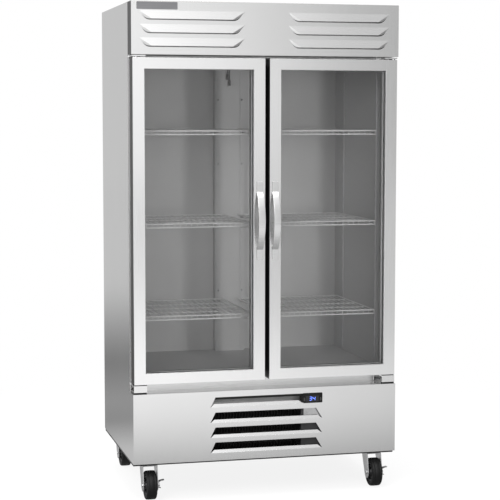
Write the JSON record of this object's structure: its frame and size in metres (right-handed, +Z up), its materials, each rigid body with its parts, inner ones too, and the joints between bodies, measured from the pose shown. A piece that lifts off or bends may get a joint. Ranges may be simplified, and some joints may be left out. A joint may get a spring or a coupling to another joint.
{
  "type": "glass door merchandiser",
  "caption": "Upright refrigerated display cabinet with hinged glass doors, wire shelves, a louvred stainless header, a slotted lower grille with a controller, on braked swivel casters.",
  "frame": {"origin": "on the floor, under the centre of the object's box", "axes": "+Z up, +Y from the doors to the back, +X to the right as seen from the front"},
  "size_m": [1.194, 0.854, 2.159],
  "materials": {
    "stainless": "satin",
    "stainless_bright": "satin",
    "galvanised": "satin",
    "liner_metal": "satin",
    "black_paint": "satin",
    "black_plastic": "matte",
    "gasket_rubber": "matte",
    "glass": "gloss",
    "satin_chrome": "satin",
    "foam": "matte",
    "epoxy_wire": "satin",
    "zinc": "satin",
    "tyre_rubber": "matte",
    "lever_zinc": "satin",
    "copper": "satin",
    "coil_metal": "satin",
    "white_plastic": "satin",
    "display": "gloss",
    "badge": "satin",
    "button_plastic": "satin"
  },
  "bodies": {
    "cabinet": {"left_side_panel": "stainless", "right_side_panel": "stainless", "top_panel": "galvanised", "back_panels": "galvanised", "cord_gland": "black_plastic", "insulation_foam": "foam", "inner_liner": "liner_metal", "door_surround": "stainless", "centre_mullion": "black_plastic", "rear_air_duct": "liner_metal", "shelf_pilasters": "zinc", "shelf_clips": "zinc", "header_panel": "stainless_bright", "header_end_caps": "black_paint", "badge_plate": "badge", "grille_panel": "stainless_bright", "controller_housing": "black_plastic", "controller_display": "display", "base_frame": "black_paint", "hinge_brackets": "zinc", "caster_plates": "zinc", "condenser_coil": "coil_metal", "condenser_shroud": "galvanised", "fan_motors": "black_paint", "compressor": "black_paint", "refrigerant_pipes": "copper", "electrical_box": "galvanised", "evaporator_housing": "liner_metal", "evaporator_coil": "coil_metal", "air_sensor": "black_plastic", "shelf_left_bottom": "epoxy_wire", "shelf_left_middle": "epoxy_wire", "shelf_left_top": "epoxy_wire", "shelf_right_bottom": "epoxy_wire", "shelf_right_middle": "epoxy_wire", "shelf_right_top": "epoxy_wire"},
    "left_door": {"left_door_fascia": "stainless_bright", "left_door_frame": "black_plastic", "left_door_glass": "glass", "left_door_gasket": "gasket_rubber", "left_door_handle": "satin_chrome"},
    "right_door": {"right_door_fascia": "stainless_bright", "right_door_frame": "black_plastic", "right_door_glass": "glass", "right_door_gasket": "gasket_rubber", "right_door_handle": "satin_chrome"},
    "condenser_fan": {"condenser_fan_blade": "black_plastic"},
    "evaporator_fan": {"evaporator_fan_blade": "white_plastic"},
    "left_button": {"controller_left_button": "button_plastic"},
    "right_button": {"controller_right_button": "button_plastic"},
    "fork_front_left": {"caster_fork_front_left": "zinc"},
    "wheel_front_left": {"caster_wheel_front_left": "tyre_rubber"},
    "fork_front_right": {"caster_fork_front_right": "zinc"},
    "wheel_front_right": {"caster_wheel_front_right": "tyre_rubber"},
    "fork_rear_left": {"caster_fork_rear_left": "zinc"},
    "wheel_rear_left": {"caster_wheel_rear_left": "tyre_rubber"},
    "fork_rear_right": {"caster_fork_rear_right": "zinc"},
    "wheel_rear_right": {"caster_wheel_rear_right": "tyre_rubber"},
    "brake_front_left": {"caster_brake_front_left": "lever_zinc"},
    "brake_front_right": {"caster_brake_front_right": "lever_zinc"}
  },
  "joints": [
    {"name": "left_door_hinge", "type": "hinge", "parent": "cabinet", "child": "left_door", "pos_m": [-0.5778, -0.367, 1.2185], "axis": [0, 0, -1], "range_deg": [0, 120], "stiffness_Nm_per_rad": 1.5, "springref_deg": -20.05},
    {"name": "right_door_hinge", "type": "hinge", "parent": "cabinet", "child": "right_door", "pos_m": [0.5778, -0.367, 1.2185], "axis": [0, 0, 1], "range_deg": [0, 120], "stiffness_Nm_per_rad": 1.5, "springref_deg": -20.05},
    {"name": "condenser_fan_spin", "type": "hinge", "parent": "cabinet", "child": "condenser_fan", "pos_m": [-0.033, -0.208, 0.312], "axis": [0, 1, 0], "continuous": true},
    {"name": "evaporator_fan_spin", "type": "hinge", "parent": "cabinet", "child": "evaporator_fan", "pos_m": [0, -0.08, 1.919], "axis": [0, 0, 1], "continuous": true},
    {"name": "left_button_press", "type": "slide", "parent": "cabinet", "child": "left_button", "axis": [0, 1, 0], "range_m": [0, 0.0008], "stiffness_N_per_m": 800, "springref_m": -0.0005},
    {"name": "right_button_press", "type": "slide", "parent": "cabinet", "child": "right_button", "axis": [0, 1, 0], "range_m": [0, 0.0008], "stiffness_N_per_m": 800, "springref_m": -0.0005},
    {"name": "swivel_front_left", "type": "hinge", "parent": "cabinet", "child": "fork_front_left", "pos_m": [-0.516, -0.294, 0.14], "axis": [0, 0, 1], "continuous": true},
    {"name": "roll_front_left", "type": "hinge", "parent": "fork_front_left", "child": "wheel_front_left", "pos_m": [-0.516, -0.329, 0.0635], "axis": [1, 0, 0], "continuous": true},
    {"name": "brake_press_front_left", "type": "hinge", "parent": "fork_front_left", "child": "brake_front_left", "pos_m": [-0.483, -0.329, 0.0635], "axis": [1, 0, 0], "range_deg": [-25, 0]},
    {"name": "swivel_front_right", "type": "hinge", "parent": "cabinet", "child": "fork_front_right", "pos_m": [0.516, -0.294, 0.14], "axis": [0, 0, 1], "continuous": true},
    {"name": "roll_front_right", "type": "hinge", "parent": "fork_front_right", "child": "wheel_front_right", "pos_m": [0.516, -0.329, 0.0635], "axis": [1, 0, 0], "continuous": true},
    {"name": "brake_press_front_right", "type": "hinge", "parent": "fork_front_right", "child": "brake_front_right", "pos_m": [0.549, -0.329, 0.0635], "axis": [1, 0, 0], "range_deg": [-25, 0]},
    {"name": "swivel_rear_left", "type": "hinge", "parent": "cabinet", "child": "fork_rear_left", "pos_m": [-0.516, 0.37, 0.14], "axis": [0, 0, 1], "continuous": true},
    {"name": "roll_rear_left", "type": "hinge", "parent": "fork_rear_left", "child": "wheel_rear_left", "pos_m": [-0.516, 0.335, 0.0635], "axis": [1, 0, 0], "continuous": true},
    {"name": "swivel_rear_right", "type": "hinge", "parent": "cabinet", "child": "fork_rear_right", "pos_m": [0.516, 0.37, 0.14], "axis": [0, 0, 1], "continuous": true},
    {"name": "roll_rear_right", "type": "hinge", "parent": "fork_rear_right", "child": "wheel_rear_right", "pos_m": [0.516, 0.335, 0.0635], "axis": [1, 0, 0], "continuous": true}
  ]
}
